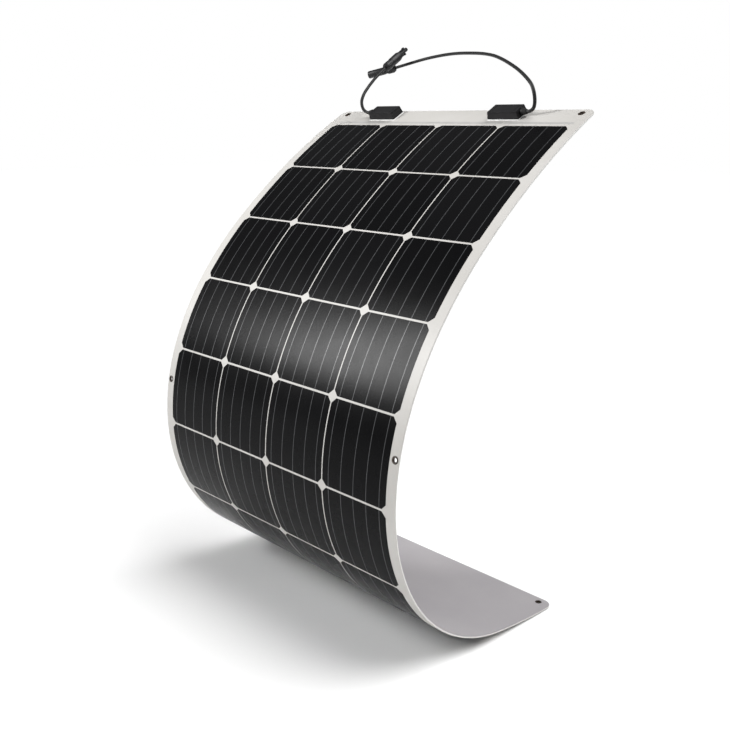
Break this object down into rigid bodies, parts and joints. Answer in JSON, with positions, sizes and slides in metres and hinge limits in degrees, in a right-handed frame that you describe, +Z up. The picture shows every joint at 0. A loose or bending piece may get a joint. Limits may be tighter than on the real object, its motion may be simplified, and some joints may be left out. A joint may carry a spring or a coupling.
{
  "type": "flexible solar sheet",
  "caption": "Thin flexible solar laminate held in a curl by its top eyelets, with black square cells, corner eyelets, two junction boxes and two short leads with connectors.",
  "frame": {"origin": "midway between the two top eyelets, in the middle of the sheet thickness", "axes": "+X across the sheet, +Z up, cells on the outside of the curl and facing -Y at mid height"},
  "size_m": [0.5854, 0.5526, 0.9069],
  "materials": {
    "front_film": "clear, glossy, faint texture",
    "encapsulant": "clear",
    "solar_cell": "near-black silicon with fine lines",
    "ribbon": "tinned copper",
    "rear_sheet": "matt warm white",
    "eyelet": "black, semi-gloss",
    "box": "fine moulded texture",
    "seal": "matt",
    "diode": "moulded",
    "clip": "plain",
    "lead": "satin jacket",
    "connector": "satin moulded"
  },
  "bodies": {
    "row_1": {"rear_sheet_1": "rear_sheet", "encapsulant_1": "encapsulant", "cells_1": "solar_cell", "ribbons_1": "ribbon", "front_film_1": "front_film", "top_bus_ribbons": "ribbon", "eyelets_top": "eyelet", "junction_bases": "box", "junction_lids": "box", "bypass_diodes": "diode", "terminal_clips": "clip", "strain_reliefs": "seal", "left_lead": "lead", "right_lead": "lead", "socket_connector": "connector", "plug_connector": "connector", "connector_nuts": "connector"},
    "row_2": {"rear_sheet_2": "rear_sheet", "encapsulant_2": "encapsulant", "cells_2": "solar_cell", "ribbons_2": "ribbon", "front_film_2": "front_film"},
    "row_3": {"rear_sheet_3": "rear_sheet", "encapsulant_3": "encapsulant", "cells_3": "solar_cell", "ribbons_3": "ribbon", "front_film_3": "front_film"},
    "row_4": {"rear_sheet_4": "rear_sheet", "encapsulant_4": "encapsulant", "cells_4": "solar_cell", "ribbons_4": "ribbon", "front_film_4": "front_film"},
    "row_5": {"rear_sheet_5": "rear_sheet", "encapsulant_5": "encapsulant", "cells_5": "solar_cell", "ribbons_5": "ribbon", "front_film_5": "front_film", "eyelets_middle": "eyelet"},
    "row_6": {"rear_sheet_6": "rear_sheet", "encapsulant_6": "encapsulant", "cells_6": "solar_cell", "ribbons_6": "ribbon", "front_film_6": "front_film"},
    "row_7": {"rear_sheet_7": "rear_sheet", "encapsulant_7": "encapsulant", "cells_7": "solar_cell", "ribbons_7": "ribbon", "front_film_7": "front_film"},
    "row_8": {"rear_sheet_8": "rear_sheet", "encapsulant_8": "encapsulant", "cells_8": "solar_cell", "ribbons_8": "ribbon", "front_film_8": "front_film"},
    "row_9": {"rear_sheet_9": "rear_sheet", "encapsulant_9": "encapsulant", "cells_9": "solar_cell", "ribbons_9": "ribbon", "front_film_9": "front_film", "bottom_bus_ribbons": "ribbon", "eyelets_bottom": "eyelet"}
  },
  "joints": [
    {"name": "flex_1_2", "type": "hinge", "parent": "row_1", "child": "row_2", "pos_m": [0, -0.13695, -0.08802], "axis": [1, 0, 0], "range_deg": [-6, 1.22], "stiffness_Nm_per_rad": 60, "springref_deg": -2.39},
    {"name": "flex_2_3", "type": "hinge", "parent": "row_2", "child": "row_3", "pos_m": [0, -0.23498, -0.17024], "axis": [1, 0, 0], "range_deg": [-8.5, 1.72], "stiffness_Nm_per_rad": 60, "springref_deg": -0.83},
    {"name": "flex_3_4", "type": "hinge", "parent": "row_3", "child": "row_4", "pos_m": [0, -0.31968, -0.26594], "axis": [1, 0, 0], "range_deg": [-13.5, 2.72], "stiffness_Nm_per_rad": 60, "springref_deg": 0.33},
    {"name": "flex_4_5", "type": "hinge", "parent": "row_4", "child": "row_5", "pos_m": [0, -0.37961, -0.37858], "axis": [1, 0, 0], "range_deg": [-18.5, 3.72], "stiffness_Nm_per_rad": 60, "springref_deg": 1.04},
    {"name": "flex_5_6", "type": "hinge", "parent": "row_5", "child": "row_6", "pos_m": [0, -0.40064, -0.50411], "axis": [1, 0, 0], "range_deg": [-23.5, 4.72], "stiffness_Nm_per_rad": 60, "springref_deg": 1.25},
    {"name": "flex_6_7", "type": "hinge", "parent": "row_6", "child": "row_7", "pos_m": [0, -0.36996, -0.62726], "axis": [1, 0, 0], "range_deg": [-27, 5.4], "stiffness_Nm_per_rad": 60, "springref_deg": 1.02},
    {"name": "flex_7_8", "type": "hinge", "parent": "row_7", "child": "row_8", "pos_m": [0, -0.28684, -0.72292], "axis": [1, 0, 0], "range_deg": [-27.5, 5.52], "stiffness_Nm_per_rad": 60, "springref_deg": 0.57},
    {"name": "flex_8_9", "type": "hinge", "parent": "row_8", "child": "row_9", "pos_m": [0, -0.16886, -0.76942], "axis": [1, 0, 0], "range_deg": [-17, 3.42], "stiffness_Nm_per_rad": 60, "springref_deg": 0.17}
  ],
  "couplings": [
    {"joint": "flex_1_2", "follows": "flex_6_7", "ratio": 0.22222},
    {"joint": "flex_2_3", "follows": "flex_6_7", "ratio": 0.31481},
    {"joint": "flex_3_4", "follows": "flex_6_7", "ratio": 0.5},
    {"joint": "flex_4_5", "follows": "flex_6_7", "ratio": 0.68519},
    {"joint": "flex_5_6", "follows": "flex_6_7", "ratio": 0.87037},
    {"joint": "flex_7_8", "follows": "flex_6_7", "ratio": 1.0185},
    {"joint": "flex_8_9", "follows": "flex_6_7", "ratio": 0.62963}
  ]
}
